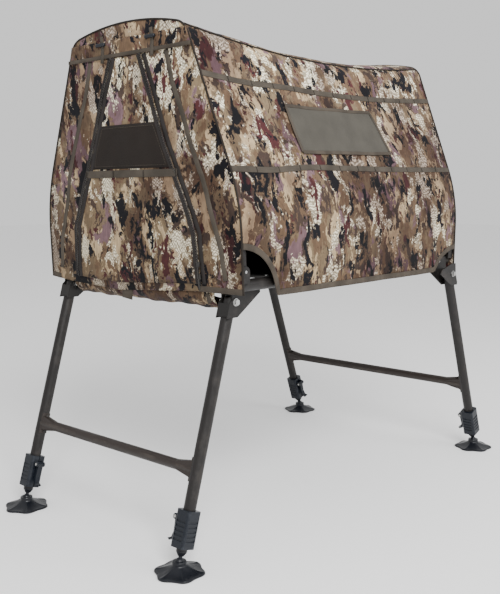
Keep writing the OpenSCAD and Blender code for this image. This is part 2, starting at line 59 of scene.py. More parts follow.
# ---------------------------------------------------------------- driving dimensions, metres
HALF_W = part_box("rear_wall")[1].x
HEM_Z, BEND_Z, BEND_R = 0.530, 0.650, 0.417
LEAN = math.radians(21.1)
SHOULDER_Z, SHOULDER_R = 1.055, 0.045
CROWN_START = math.radians(90 - 12.3)
ROOF_SAG, SAG_LO = 0.032, 0.700
BOW_Y, BOW_Z, BOW_LEAN = 0.412, 0.585, math.radians(2)
WALL_D = 0.0135            # middle of the end walls, outboard of the bow plane
CLOTH = 0.0014             # thickness of the cover cloth
ROW_HIGH, ROW_LOW = 0.985, 0.797
DOOR = [(0.048, 1.0295), (0.090, 0.924), (0.120, 0.838), (0.150, 0.771), (0.180, 0.702), (0.198, 0.660), (0.204, 0.547)]
DOOR_LAP = 0.006           # how far the door overlaps the doorway
OPENING = (DOOR[-1][1] + DOOR_LAP, DOOR[0][1] - DOOR_LAP)
OUTER_WEB = [(0.124, 1.030), (0.140, 0.965), (0.166, 0.910), (0.190, 0.845), (0.217, 0.780), (0.240, 0.700),
             (0.262, 0.629), (0.272, 0.560)]


def lerp(a, b, k):
    return a + (b - a) * k


def smooth(a, b, x):
    k = min(1.0, max(0.0, (x - a) / (b - a)))
    return k * k * (3 - 2 * k)


# ---------------------------------------------------------------- the cabin's cross-section
def on_arc(c, r, a):
    return c[0] + r * math.cos(a), c[1] + r * math.sin(a)


bend_c = (HALF_W - BEND_R, BEND_Z)
bend_end = on_arc(bend_c, BEND_R, LEAN)
shoulder_x = bend_end[0] - (SHOULDER_Z - bend_end[1]) * math.tan(LEAN)
shoulder_c = (shoulder_x - SHOULDER_R * math.cos(LEAN), SHOULDER_Z - SHOULDER_R * math.sin(LEAN))
crown_x, crown_edge_z = on_arc(shoulder_c, SHOULDER_R, CROWN_START)
crown_r = crown_x / math.cos(CROWN_START)
crown_c = (0.0, crown_edge_z - crown_r * math.sin(CROWN_START))
TOP_Z = crown_c[1] + crown_r


def outline():
    """Half of the cross-section from the hem to the crown: points, outward normals, and the seam's index."""
    pts, nor = [], []
    for k in range(12):
        pts.append((HALF_W, lerp(HEM_Z, BEND_Z, k / 12)))
        nor.append((1.0, 0.0))
    for c, r, a, b, n in ((bend_c, BEND_R, 0, LEAN, 12), (None, 0, 0, 0, 20),
                          (shoulder_c, SHOULDER_R, LEAN, CROWN_START, 12),
                          (crown_c, crown_r, CROWN_START, math.pi / 2, 24)):
        for k in range(n):
            if c is None:
                a0, b0 = bend_end, on_arc(shoulder_c, SHOULDER_R, LEAN)
                pts.append((lerp(a0[0], b0[0], k / n), lerp(a0[1], b0[1], k / n)))
                nor.append((math.cos(LEAN), math.sin(LEAN)))
            else:
                t = lerp(a, b, k / n)
                pts.append(on_arc(c, r, t))
                nor.append((math.cos(t), math.sin(t)))
    pts.append((0.0, TOP_Z))
    nor.append((0.0, 1.0))
    return np.array(pts), np.array(nor), 12 + 12 + 20 + 6


PROFILE, NORMALS, SEAM = outline()
RUN = np.concatenate([[0], np.cumsum(np.linalg.norm(np.diff(PROFILE, axis=0), axis=1))])
RUN_SEAM, RUN_TOP = RUN[SEAM], RUN[-1]


def profile(run):
    """Point and outward normal of the cross-section at a distance along it from the hem."""
    p = [np.interp(run, RUN, PROFILE[:, i]) for i in (0, 1)]
    n = np.array([np.interp(run, RUN, NORMALS[:, i]) for i in (0, 1)])
    return p, n / np.linalg.norm(n)


def run_at(z):
    return float(np.interp(z, PROFILE[:, 1], RUN))


def half_width(z):
    return float(np.interp(z, PROFILE[:, 1], PROFILE[:, 0]))


def end_y(z):
    return BOW_Y + (z - BOW_Z) * math.tan(BOW_LEAN) + 0.0121


def sag(z, t):
    share = max(0.0, min(1.0, (z - SAG_LO) / (TOP_Z - SAG_LO))) ** 1.5
    return ROOF_SAG * (1 - t * t) * share


def wrinkle(x, y, z, seed):
    """Soft folds in the cloth: broad ones first, then short creases. About -1 to 1."""
    v = Vector((x, y, z + 7.3 * seed))
    return 0.75 * noise.noise(v * 6.5) + 0.34 * noise.noise(v * 17) + 0.12 * noise.noise(v * 47)


def cover(side, run, t, off=0.0, seed=1):
    """A point on the roof or side cloth. side is -1 or 1, t runs from -1 at the front bow to 1 at the rear."""
    (x, z), n = profile(run)
    hold = (1 - smooth(0.86, 0.99, abs(t))) * smooth(0, 0.03, abs(run - RUN_SEAM) + 0.004)
    rows = min(abs(run - run_at(ROW_HIGH)), abs(run - run_at(ROW_LOW)))
    puff = 0.0062 * hold * (0.25 + 0.75 * smooth(0, 0.06, rows))
    d = off + puff * (0.35 + wrinkle(side * x, t * 0.43, z, seed))
    p = (x + n[0] * d, z + n[1] * d)
    return Vector((side * p[0], t * end_y(z), p[1] - sag(z, t)))


HEM_X, HEM_RISE = (-0.316, -0.251, -0.064, 0.195, 0.316), (0.010, 0.003, -0.006, 0.010, 0.010)
HINGE_Z = DOOR[0][1]
HEM_REACH = 0.08  # the front hem's dip dies out this far up


def end_wall(end, x, z, d):
    """A point on an end wall, d outboard of the bow plane. All its layers share one swell, so they stay stacked."""
    edge = smooth(0, 0.07, half_width(min(z, TOP_Z)) - abs(x)) * smooth(0, 0.05, z - HEM_Z + 0.012)
    top = smooth(0, 0.09, TOP_Z - z)
    swell = edge * top * (0.0045 + 0.0065 * wrinkle(x, end * 0.44, z, 3))
    if end == FRONT:
        swell *= smooth(0, 0.10, abs(z - HINGE_Z))  # flat along the line the door turns on
        z += float(np.interp(x, HEM_X, HEM_RISE)) * (1 - smooth(0, HEM_REACH, z - HEM_Z))
    d, h = d + max(0.0, swell), z - BOW_Z
    y = -BOW_Y - d * math.cos(BOW_LEAN) - h * math.sin(BOW_LEAN)
    return Vector((x, y if end == FRONT else -y, BOW_Z - d * math.sin(BOW_LEAN) + h * math.cos(BOW_LEAN)))


# ---------------------------------------------------------------- node materials
def material(name, rough=0.8, metal=0.0, sheen=0.0):
    mat = bpy.data.materials.new(name)
    mat.use_nodes = True
    nt = mat.node_tree
    bsdf = nt.nodes["Principled BSDF"]
    bsdf.inputs["Roughness"].default_value = rough
    bsdf.inputs["Metallic"].default_value = metal
    bsdf.inputs["Sheen Weight"].default_value = sheen
    return mat, nt, bsdf


def add(nt, kind, links=(), **values):
    n = nt.nodes.new("ShaderNode" + kind)
    for key, value in values.items():
        if key in n.bl_rna.properties:
            setattr(n, key, value)
        else:
            n.inputs[key].default_value = value
    for key, source in dict(links).items():
        nt.links.new(source, n.inputs[key])
    return n


def stretched(nt, scale, shift=(0, 0, 0), source=None):
    coords = source or add(nt, "TexCoord").outputs["Object"]
    return add(nt, "Mapping", {"Vector": coords}, Scale=scale, Location=shift).outputs["Vector"]


def mixed(nt, factor, a, b, blend="MIX"):
    n = nt.nodes.new("ShaderNodeMix")
    n.data_type, n.blend_type = "RGBA", blend
    for socket, value in ((n.inputs[0], factor), (n.inputs[6], a), (n.inputs[7], b)):
        if isinstance(value, bpy.types.NodeSocket):
            nt.links.new(value, socket)
        else:
            socket.default_value = value if not isinstance(value, tuple) else (*value, 1.0)
    return n.outputs[2]


def step(nt, value, low, high):
    return add(nt, "MapRange", {"Value": value}, **{"From Min": low, "From Max": high}).outputs["Result"]


def math_node(nt, operation, a, b):
    n = add(nt, "Math", operation=operation)
    for i, value in enumerate((a, b)):
        if isinstance(value, bpy.types.NodeSocket):
            nt.links.new(value, n.inputs[i])
        else:
            n.inputs[i].default_value = value
    return n.outputs[0]


def bump(nt, bsdf, heights):
    """heights: (height socket, strength, distance), applied one on another."""
    last = None
    for height, strength, distance in heights:
        n = add(nt, "Bump", {"Height": height}, Strength=strength, Distance=distance)
        if last:
            nt.links.new(last, n.inputs["Normal"])
        last = n.outputs["Normal"]
    nt.links.new(last, bsdf.inputs["Normal"])


def weave(nt, per_metre):
    """Height of a plain weave: two crossed sets of threads."""
    out = None
    for axis in ("X", "Z"):
        w = add(nt, "TexWave", {"Vector": stretched(nt, (1, 1, 1))}, Scale=per_metre / 3.18, bands_direction=axis)
        out = w.outputs["Fac"] if out is None else math_node(nt, "MULTIPLY", out, w.outputs["Fac"])
    return out


CAMO_LAYERS = (  # colour, blotches per metre, vertical squeeze, low, high, seed
    ((0.120, 0.078, 0.050), 18, 0.60, 0.48, 0.50, 1),
    ((0.410, 0.320, 0.205), 19, 0.55, 0.535, 0.550, 2),
    ((0.050, 0.034, 0.028), 26, 0.55, 0.550, 0.560, 3),
    ((0.150, 0.094, 0.112), 16, 0.60, 0.562, 0.577, 4),
    ((0.830, 0.790, 0.660), 17, 0.62, 0.548, 0.560, 5),
    ((0.056, 0.017, 0.019), 19, 0.55, 0.585, 0.597, 6),
    ((0.005, 0.005, 0.008), 25, 0.55, 0.558, 0.568, 7),
)
CREAM_LAYER = 4
CLOTH_SHEEN, CLOTH_SHINE, HARD_SHINE = 0.02, 0.12, 0.28


def camo(name, seed):
    """A generic brushy camouflage print: warped upright blotches in layers, with a net print on the pale ones, and
    painted shade that darkens it towards the bottom.
    """
    mat, nt, bsdf = material(name, 0.86, sheen=CLOTH_SHEEN)
    bsdf.inputs["Specular IOR Level"].default_value = CLOTH_SHINE
    base = stretched(nt, (1, 1, 1), (seed * 3.7, seed * 1.9, seed * 2.3))
    warped = base
    for scale, amount, squeeze in ((11, 0.05, 0.8), (55, 0.022, 0.35)):
        wob = add(nt, "TexNoise", {"Vector": stretched(nt, (1, 1, squeeze), source=warped)}, Scale=scale, Detail=3)
        centred = add(nt, "VectorMath", {0: wob.outputs["Color"]}, operation="SUBTRACT")
        centred.inputs[1].default_value = (0.5, 0.5, 0.5)
        scaled = add(nt, "VectorMath", {0: centred.outputs[0]}, operation="SCALE", Scale=amount)
        warped = add(nt, "VectorMath", {0: warped, 1: scaled.outputs[0]}, operation="ADD").outputs[0]
    colour = (0.160, 0.119, 0.076)
    for i, (paint, scale, squeeze, low, high, shift) in enumerate(CAMO_LAYERS):
        place = stretched(nt, (1, 1, squeeze), (shift * 5.1, shift * 2.7, shift * 4.3), warped)
        blot = add(nt, "TexNoise", {"Vector": place}, Scale=scale, Detail=6, Roughness=0.68)
        mask = step(nt, blot.outputs["Fac"], low, high)
        layer = paint
        if i == CREAM_LAYER:
            net = None
            for turn in (0.6, -0.6):
                lines = add(nt, "Mapping", {"Vector": warped}, Rotation=(turn, turn, 0.4))
                wave = add(nt, "TexWave", {"Vector": lines.outputs[0]}, Scale=58, Distortion=1.2)
                line = step(nt, wave.outputs["Fac"], 0.62, 0.75)
                net = line if net is None else math_node(nt, "MAXIMUM", net, line)
            layer = mixed(nt, math_node(nt, "MULTIPLY", net, 0.85), paint, (0.20, 0.165, 0.11))
        colour = mixed(nt, mask, colour, layer)
    groups = add(nt, "TexNoise", {"Vector": stretched(nt, (1, 1, 0.7), source=warped)}, Scale=7.5, Detail=3)
    grouped = mixed(nt, step(nt, groups.outputs["Fac"], 0.42, 0.60), (0.50, 0.43, 0.42), (1.18, 1.15, 1.08))
    colour = mixed(nt, 1.0, colour, grouped, "MULTIPLY")
    fibres = add(nt, "TexNoise", {"Vector": stretched(nt, (1, 1, 0.2), source=warped)}, Scale=230, Detail=2)
    colour = mixed(nt, 0.45, colour, mixed(nt, step(nt, fibres.outputs["Fac"], 0.3, 0.7), (0.45, 0.45, 0.45),
                                           (1.35, 1.35, 1.35)), "MULTIPLY")
    # Painted shade: the colour is multiplied down to about two thirds below 0.52 m in height, reaching full brightness
    # at 0.98 m.
    height = add(nt, "SeparateXYZ", {"Vector": add(nt, "TexCoord").outputs["Object"]}).outputs["Z"]
    painted_shade = mixed(nt, step(nt, height, 0.52, 0.98), (0.66, 0.64, 0.62), (1.0, 1.0, 1.0))
    nt.links.new(mixed(nt, 1.0, colour, painted_shade, "MULTIPLY"), bsdf.inputs["Base Color"])
    nt.links.new(step(nt, fibres.outputs["Fac"], -1.6, 1.4), bsdf.inputs["Roughness"])
    creases = add(nt, "TexNoise", {"Vector": stretched(nt, (1, 1, 0.7))}, Scale=34, Detail=4)
    bump(nt, bsdf, ((creases.outputs["Fac"], 0.35, 0.004), (weave(nt, 900), 0.25, 0.0004)))
    return mat


def cloth(name, colour, per_metre=900, vary=0.25, rough=0.85):
    """A plain woven cloth or webbing with thread relief, soft dust and uneven dye."""
    mat, nt, bsdf = material(name, rough, sheen=CLOTH_SHEEN)
    bsdf.inputs["Specular IOR Level"].default_value = CLOTH_SHINE
    threads = weave(nt, per_metre)
    dust = add(nt, "TexNoise", {"Vector": stretched(nt, (1, 1, 1))}, Scale=24, Detail=5)
    low, high = (tuple(c * k for c in colour) for k in (1 - vary, 1 + vary))
    tone = mixed(nt, step(nt, dust.outputs["Fac"], 0.35, 0.65), low, high)
    nt.links.new(mixed(nt, math_node(nt, "MULTIPLY", threads, 0.35), tone, low), bsdf.inputs["Base Color"])
    nt.links.new(step(nt, dust.outputs["Fac"], -2.4, 1.2), bsdf.inputs["Roughness"])
    bump(nt, bsdf, ((dust.outputs["Fac"], 0.2, 0.002), (threads, 0.6, 0.0005)))
    return mat


def hard(name, colour, worn, rough, metal=0.0, grain=420, relief=0.0002, wear_at=0.66):
    """Paint, moulded plastic or metal: fine grain, patchy gloss, and wear that shows a second colour."""
    mat, nt, bsdf = material(name, rough, metal)
    bsdf.inputs["Specular IOR Level"].default_value = 0.5 if metal else HARD_SHINE
    grains = add(nt, "TexNoise", {"Vector": stretched(nt, (1, 1, 1))}, Scale=grain, Detail=3)
    patches = add(nt, "TexNoise", {"Vector": stretched(nt, (1, 1, 1))}, Scale=26, Detail=8, Roughness=0.7)
    edges = add(nt, "NewGeometry").outputs["Pointiness"]
    edge_wear = math_node(nt, "MULTIPLY", math_node(nt, "SUBTRACT", edges, 0.5), 1.5)
    scuff = math_node(nt, "ADD", patches.outputs["Fac"], edge_wear)
    dark, light = (tuple(c * k for c in colour) for k in (0.8, 1.2))
    tone = mixed(nt, step(nt, grains.outputs["Fac"], 0.3, 0.7), dark, light)
    nt.links.new(mixed(nt, step(nt, scuff, wear_at, wear_at + 0.12), tone, worn), bsdf.inputs["Base Color"])
    nt.links.new(step(nt, patches.outputs["Fac"], 0.5 - 1.1 * rough, 1.7 - rough), bsdf.inputs["Roughness"])
    bump(nt, bsdf, ((grains.outputs["Fac"], 0.4, relief), (patches.outputs["Fac"], 0.12, 0.001)))
    return mat


PAINT = hard("frame_paint", (0.0110, 0.0095, 0.0090), (0.022, 0.019, 0.017), 0.50, wear_at=0.70)
BAR_PAINT = hard("crossbar_paint", (0.022, 0.0165, 0.014), (0.040, 0.032, 0.027), 0.54, wear_at=0.68)
BRACKET = hard("bracket_paint", (0.0095, 0.0085, 0.0080), (0.024, 0.021, 0.019), 0.48, wear_at=0.70)
PLASTIC = hard("lock_plastic", (0.0065, 0.0085, 0.0130), (0.018, 0.021, 0.027), 0.36, grain=650, wear_at=0.70)
FOOT = hard("foot_plastic", (0.0070, 0.0080, 0.0110), (0.026, 0.024, 0.021), 0.40, grain=520, wear_at=0.68)
ZINC = hard("zinc", (0.56, 0.56, 0.55), (0.34, 0.33, 0.31), 0.34, metal=1.0, grain=700)
DARK_RIVET = hard("dark_rivet", (0.018, 0.016, 0.015), (0.06, 0.055, 0.05), 0.45)
WEBBING = cloth("grey_webbing", (0.056, 0.047, 0.037), 620)
ZIP_TAPE = cloth("zip_tape", (0.022, 0.019, 0.018), 700)
BINDING = cloth("edge_binding", (0.055, 0.045, 0.035), 800)
PIPING = cloth("seam_piping", (0.020, 0.016, 0.013), 1000)
WINDOW = cloth("window_cloth", (0.066, 0.061, 0.051), 1500, 0.1)
PATCH = cloth("patch_cloth", (0.016, 0.012, 0.010), 1300, 0.15)
DECK = cloth("deck_cloth", (0.020, 0.019, 0.018), 700)
THREAD = cloth("tack_thread", (0.030, 0.025, 0.020), 1600)
COIL = hard("zip_coil", (0.020, 0.018, 0.016), (0.06, 0.055, 0.05), 0.4, grain=900)

SLOT_FINISH = {
    "frame_paint": PAINT, "inner_tube_steel": PAINT, "bracket_steel": BRACKET, "dark_rivet": DARK_RIVET,
    "zinc_fastener": ZINC, "lock_plastic": PLASTIC, "foot_plastic": FOOT,
}
for part in frame["record"]["subparts"]:
    finish = SLOT_FINISH.get(part["material_slot"])
    if finish:
        finish = BAR_PAINT if part["node"].endswith("_crossbar") else finish
        obj = frame["nodes"][part["node"]]
        obj.data.materials.clear()
        obj.data.materials.append(finish)


# ---------------------------------------------------------------- mesh helpers
def piece(name, verts, faces, mat, body, thick=0.0, soft=True):
    mesh = bpy.data.meshes.new(name)
    mesh.from_pydata([tuple(v) for v in verts], [], faces)
    mesh.materials.append(mat)
    obj = bpy.data.objects.new(name, mesh)
    bpy.context.scene.collection.objects.link(obj)
    bm = bmesh.new()
    bm.from_mesh(mesh)
    bmesh.ops.remove_doubles(bm, verts=bm.verts, dist=1e-6)
    loose = [v for v in bm.verts if not v.link_faces]
    bmesh.ops.delete(bm, geom=loose, context="VERTS")
    bmesh.ops.recalc_face_normals(bm, faces=bm.faces)
    bm.to_mesh(mesh)
    bm.free()
    if thick:
        mod = obj.modifiers.new("thickness", "SOLIDIFY")
        mod.thickness, mod.offset = thick, 0.0
        graph = bpy.context.evaluated_depsgraph_get()
        obj.data = bpy.data.meshes.new_from_object(obj.evaluated_get(graph))
        obj.modifiers.clear()
    if soft:
        obj.data.polygons.foreach_set("use_smooth", [True] * len(obj.data.polygons))
    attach(obj, body)
    return obj


def grid_faces(rows, cols, keep=lambda r, c: True):
    return [(r * cols + c, r * cols + c + 1, (r + 1) * cols + c + 1, (r + 1) * cols + c)
            for r in range(rows - 1) for c in range(cols - 1) if keep(r, c)]


def sheet_grid(name, grid, mat, body, thick=CLOTH, keep=lambda r, c: True):
    rows, cols = len(grid), len(grid[0])
    return piece(name, [p for row in grid for p in row], grid_faces(rows, cols, keep), mat, body, thick)


def cut_area(points):
    """Area of a flat pattern from its outline, with no folds or swell in it."""
    pairs = zip(points, points[1:] + points[:1])
    return 0.5 * abs(sum(a[0] * b[1] - b[0] * a[1] for a, b in pairs))


def mirrored(half):
    """A closed outline from its right half."""
    return half + [(-x, z) for x, z in reversed(half)]


def swept(path, section, closed_ends=True, normals=None):
    """Vertices and faces of a section (across, out) carried along a path."""
    verts, faces, n = [], [], len(section)
    for i, p in enumerate(path):
        tangent = (path[min(i + 1, len(path) - 1)] - path[max(i - 1, 0)]).normalized()
        out = normals[i] if normals else Vector((0, 0, 1)) if abs(tangent.z) < 0.9 else Vector((1, 0, 0))
        across = tangent.cross(out).normalized()
        out = across.cross(tangent).normalized()
        verts += [p + across * u + out * v for u, v in section]
        if i:
            a, b = (i - 1) * n, i * n
            faces += [(a + k, a + (k + 1) % n, b + (k + 1) % n, b + k) for k in range(n)]
    if closed_ends:
        faces += [tuple(range(n - 1, -1, -1)), tuple(range(len(verts) - n, len(verts)))]
    return verts, faces


def ribbon(name, path, normals, width, thick, mat, body):
    """A woven tape: flat underneath, slightly crowned, with rounded selvedges."""
    w, t = width / 2, thick
    section = [(-w, 0), (-w, t * 0.6), (-w * 0.86, t), (0, t * 1.08), (w * 0.86, t), (w, t * 0.6), (w, 0)]
    verts, faces = swept(path, section, normals=normals)
    return piece(name, verts, faces, mat, body)


def rope(name, path, radius, mat, body, sides=10):
    turns = [2 * math.pi * k / sides for k in range(sides)]
    section = [(radius * math.cos(a), radius * math.sin(a)) for a in turns]
    verts, faces = swept(path, section)
    return piece(name, verts, faces, mat, body)


def join(name, parts):
    """Several small pieces of one kind as one mesh object."""
    bm = bmesh.new()
    for p in parts:
        bm.from_mesh(p.data)
    mesh = parts[0].data
    bm.to_mesh(mesh)
    bm.free()
    for p in parts[1:]:
        bpy.data.objects.remove(p)
    parts[0].name = name
    return parts[0]


def along(points, count):
    """Even points on the straight runs between (u, v) points."""
    pts = np.array(points, float)
    run = np.concatenate([[0], np.cumsum(np.linalg.norm(np.diff(pts, axis=0), axis=1))])
    at = np.linspace(0, run[-1], count)
    return [(float(np.interp(s, run, pts[:, 0])), float(np.interp(s, run, pts[:, 1]))) for s in at]


CRUMPLE = []


def crumples(obj):
    """Adds a platform cloth to CRUMPLE; each one is given its own mesh data further down."""
    CRUMPLE.append(obj)
    return obj


# ---------------------------------------------------------------- roof and sides
def arch_hem(y):
    """Lowest point of a side wall: level, with an arched cut-out at each end."""
    z = HEM_Z
    for cy, cz, r in ((-0.430, 0.520, 0.110), (0.430, 0.440, 0.145)):
        if abs(y - cy) < r:
            z = max(z, cz + math.sqrt(r * r - (y - cy) ** 2))
    return z


SIDE_COLS, SIDE_ROWS, ROOF_ROWS = 121, 61, 61
HEM_TAPE_UP = 0.0065  # middle of the side hem binding above the hem
ROW_W, ROW_DROOP = 0.013, 0.010  # webbing rows: width, and how far they drop at the front
ts = [lerp(-1, 1, c / (SIDE_COLS - 1)) for c in range(SIDE_COLS)]
roof = []
for r in range(ROOF_ROWS):
    u = lerp(-1, 1, r / (ROOF_ROWS - 1))
    run = RUN_TOP - abs(u) * (RUN_TOP - RUN_SEAM)
    roof.append([cover(1 if u > 0 else -1, run, t, -0.001, 2) for t in ts])
roof_cloth = crumples(sheet_grid("roof_cloth", roof, camo("camo_roof", 1), "platform"))
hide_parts("roof_panel")

for s, word in ((-1, "left"), (1, "right")):
    low = [arch_hem(t * end_y(0.58)) for t in ts]
    grid = [[cover(s, lerp(run_at(low[c]), RUN_SEAM, r / (SIDE_ROWS - 1)), t, -0.001, s + 4) for c, t in enumerate(ts)]
            for r in range(SIDE_ROWS)]
    side = crumples(sheet_grid(word + "_side_cloth", grid, camo("camo_" + word, 2 + s), "platform"))
    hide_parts(word + "_side_panel")
    out = [Vector((s, 0, 0))] * SIDE_COLS
    bound = [cover(s, run_at(z + HEM_TAPE_UP), t, 0.0004, s + 4) for z, t in zip(low, ts)]
    crumples(ribbon(word + "_hem_binding", bound, out, 0.013, 0.0016, BINDING, "platform"))
    seam = [cover(s, RUN_SEAM, t, 0.0008, 2) for t in ts]
    crumples(rope(word + "_roof_piping", seam, 0.0017, PIPING, "platform"))
    slope = Vector((s * math.cos(LEAN), 0, math.sin(LEAN)))
    for label, z in (("upper", ROW_HIGH), ("lower", ROW_LOW)):
        runs = [run_at(z - ROW_DROOP * smooth(0.35, 0.8, -t)) for t in ts]
        path = [cover(s, run, t, 0.0002, s + 4) for run, t in zip(runs, ts)]
        crumples(ribbon(f"{word}_{label}_webbing", path, [slope] * SIDE_COLS, ROW_W, 0.0013, WEBBING,
                        "platform"))
        tacks = []
        for k in range(1, 12):
            c = round(k * (SIDE_COLS - 1) / 12)
            a, b = (cover(s, runs[c] + e * 0.45 * ROW_W, ts[c], 0.0017, s + 4) for e in (-1, 1))
            tacks.append(ribbon(f"{word}_{label}_tack_{k}", [a, lerp(a, b, 0.5), b], [slope] * 3, 0.002, 0.0007, THREAD,
                                "platform"))
        crumples(join(f"{word}_{label}_tacks", tacks))
    corners = ((-0.200, 0.938), (0.127, 0.946), (0.158, 0.837), (-0.190, 0.830))
    n = 25  # rows and columns of the window
    pane = []
    for r in range(n):
        row = []
        for c in range(n):
            (ya, za), (yb, zb) = ([lerp(p[i], q[i], c / (n - 1)) for i in (0, 1)]
                                  for p, q in ((corners[3], corners[2]), (corners[0], corners[1])))
            y, z = lerp(ya, yb, r / (n - 1)), lerp(za, zb, r / (n - 1))
            row.append(cover(s, run_at(z), y / end_y(z), 0.0018, s + 4))
        pane.append(row)
    window = crumples(sheet_grid(word + "_window_cloth", pane, WINDOW, "platform"))
    if s > 0:
        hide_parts("side_windows")
    border = pane[0] + [row[-1] for row in pane[1:]] + pane[-1][-2::-1] + [row[0] for row in pane[-2::-1]]
    crumples(ribbon(word + "_window_binding", [p + slope * 0.0006 for p in border], [slope] * len(border),
                    0.008, 0.0012, BINDING, "platform"))

for obj in CRUMPLE:
    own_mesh(obj)


# ---------------------------------------------------------------- end walls
def wall_rows():
    low, high = OPENING
    zs = list(np.linspace(HEM_Z, low, 5)) + list(np.linspace(low, high, 60))[1:]
    zs += list(np.linspace(high, SHOULDER_Z, 6))[1:]
    return zs + [SHOULDER_Z + (TOP_Z - SHOULDER_Z) * math.sin(math.pi / 2 * k / 14) for k in range(1, 15)]


def door_edge(z):
    xs, zs = zip(*reversed(DOOR))
    return float(np.interp(z, zs, xs))


STRIP_COLS, DOORWAY_COLS = 15, 32


def wall_grid(end, d):
    """Rows across the wall. Columns: the left strip, the doorway, the right strip."""
    grid = []
    for z in wall_rows():
        w = half_width(z)
        inner = min(door_edge(z) - DOOR_LAP, w * 0.6)
        xs = list(np.linspace(-w, -inner, STRIP_COLS + 1)) + list(np.linspace(-inner, inner, DOORWAY_COLS + 1))[1:]
        xs += list(np.linspace(inner, w, STRIP_COLS + 1))[1:]
        grid.append([end_wall(end, float(x), z, d) for x in xs])
    return grid


ZS = wall_rows()


def outside_door(r, c):
    low, high = OPENING
    middle = 0.5 * (ZS[r] + ZS[r + 1])
    return not (STRIP_COLS <= c < STRIP_COLS + DOORWAY_COLS and low < middle < high)


front = wall_grid(FRONT, WALL_D)
front_cloth = sheet_grid("front_wall_cloth", front, camo("camo_front", 5), "front_bow",
                         keep=outside_door)
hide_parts("front_wall")
back = wall_grid(REAR, WALL_D)
rear_cloth = sheet_grid("rear_wall_cloth", back, camo("camo_rear", 6), "rear_bow")
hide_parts("rear_wall")
wall_cut = cut_area(mirrored([(float(x), float(z)) for x, z in PROFILE]))
doorway = cut_area(mirrored([(x - DOOR_LAP, z) for x, z in DOOR]))

for end, body, word in ((FRONT, "front_bow", "front"), (REAR, "rear_bow", "rear")):
    edge = [(x, z) for x, z in PROFILE] + [(-x, z) for x, z in PROFILE[-2::-1]]
    rope(word + "_seam_piping", [end_wall(end, float(x), float(z), WALL_D + 0.0006) for x, z in edge], 0.0022, PIPING,
         body)
    spans = ((-HALF_W, HALF_W),) if end == REAR else ((-HALF_W, -0.282), (0.195, HALF_W))
    bound = []
    for k, (x0, x1) in enumerate(spans):
        hem = [end_wall(end, lerp(x0, x1, j / 60), HEM_Z + 0.006, WALL_D + 0.0008) for j in range(61)]
        bound.append(ribbon(f"{word}_hem_{k}", hem, [Vector((0, end, 0))] * 61, 0.012, 0.0014, BINDING,
                            body))
    join(word + "_hem_binding", bound)

# Door, its patch, loop tape and zips
door = []
for z in np.linspace(DOOR[-1][1], DOOR[0][1], 64):
    e = door_edge(z)
    door.append([end_wall(FRONT, lerp(-e, e, c / 32), float(z), WALL_D + 0.0025) for c in range(33)])
door_cloth = sheet_grid("door_cloth", door, camo("camo_door", 7), "door")
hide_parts("door_panel")
cut_area(mirrored(DOOR))
PATCH_Z, PATCH_W = (0.794, 0.888), (0.128, 0.091)
patch = []
for r in range(13):
    z, w = lerp(*PATCH_Z, r / 12), lerp(*PATCH_W, r / 12)
    patch.append([end_wall(FRONT, lerp(-w, w, c / 24), z, WALL_D + 0.0042) for c in range(25)])
patch_cloth = sheet_grid("door_patch_cloth", patch, PATCH, "door", 0.0012)
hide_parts("door_patch")
OUT = Vector((0, -1, 0))
stitch = []
inset, side_in = 0.006, 0.010
low_left, low_right = (-PATCH_W[0] + side_in, PATCH_Z[0] + inset), (PATCH_W[0] - side_in, PATCH_Z[0] + inset)
high_right, high_left = (PATCH_W[1] - inset, PATCH_Z[1] - inset), (-PATCH_W[1] + inset, PATCH_Z[1] - inset)
dots = along([low_left, low_right, high_right, high_left, low_left], 300)
for k in range(0, 298, 3):
    a, b = (end_wall(FRONT, *dots[k + j], WALL_D + 0.0049) for j in (0, 2))
    stitch.append(ribbon(f"stitch_{k}", [a, b], [OUT] * 2, 0.0009, 0.0005, WEBBING, "door"))
join("door_patch_stitches", stitch)


def front_tape(name, points, width, d, mat, body, count=60, thick=0.0014):
    path = [end_wall(FRONT, x, z, d) for x, z in along(points, count)]
    return ribbon(name, path, [OUT] * count, width, thick, mat, body)


front_tape("door_loop_tape", [(-0.150, 0.783), (0.150, 0.783)], 0.016, WALL_D + 0.0042, WEBBING, "door")
tacks = [front_tape(f"door_tack_{k}", [(x, 0.776), (x, 0.790)], 0.0035, WALL_D + 0.0060, THREAD, "door", 4, 0.0008)
         for k, x in enumerate((-0.148, -0.052, 0.050, 0.148))]
join("door_loop_tacks", tacks)
for s, word in ((-1, "left"), (1, "right")):
    line = [(s * x, z) for x, z in DOOR]
    front_tape(word + "_zip_tape_door", [(x - s * 0.008, z) for x, z in line], 0.011, WALL_D + 0.0034, ZIP_TAPE, "door")
    front_tape(word + "_zip_tape_wall", [(x + s * 0.008, z) for x, z in line], 0.011, WALL_D + 0.0016, ZIP_TAPE,
               "front_bow")
    teeth = []
    for k, (x, z) in enumerate(along(line, 190)):
        side = 0.0011 if k % 2 else -0.0011
        teeth.append(front_tape(f"tooth_{k}", [(x + side - 0.0016, z), (x + side + 0.0016, z)], 0.0017,
                                WALL_D + 0.0046, COIL, "front_bow", 2, 0.0014))
    join(word + "_zip_coil", teeth)
    front_tape(word + "_outer_webbing", [(s * x, z) for x, z in OUTER_WEB], 0.012, WALL_D + 0.0010, WEBBING,
               "front_bow")

# Zip sliders with pull tabs, at the foot of the right zip: sideways, from, to, width, outboard, thick
SLIDER_PARTS = ((0, 0, 0.012, 0.009, 0.0060, 0.0022), (0, -0.024, 0.002, 0.004, 0.0084, 0.0012))
for k, (x, z) in enumerate(((0.203, 0.590), (0.204, 0.560))):
    parts = [front_tape(f"slider_{k}_{j}", [(x + dx, z + a), (x + dx, z + b)], w, WALL_D + d, COIL, "front_bow", 6, t)
             for j, (dx, a, b, w, d, t) in enumerate(SLIDER_PARTS)]
    join(f"zip_slider_{k}", parts)

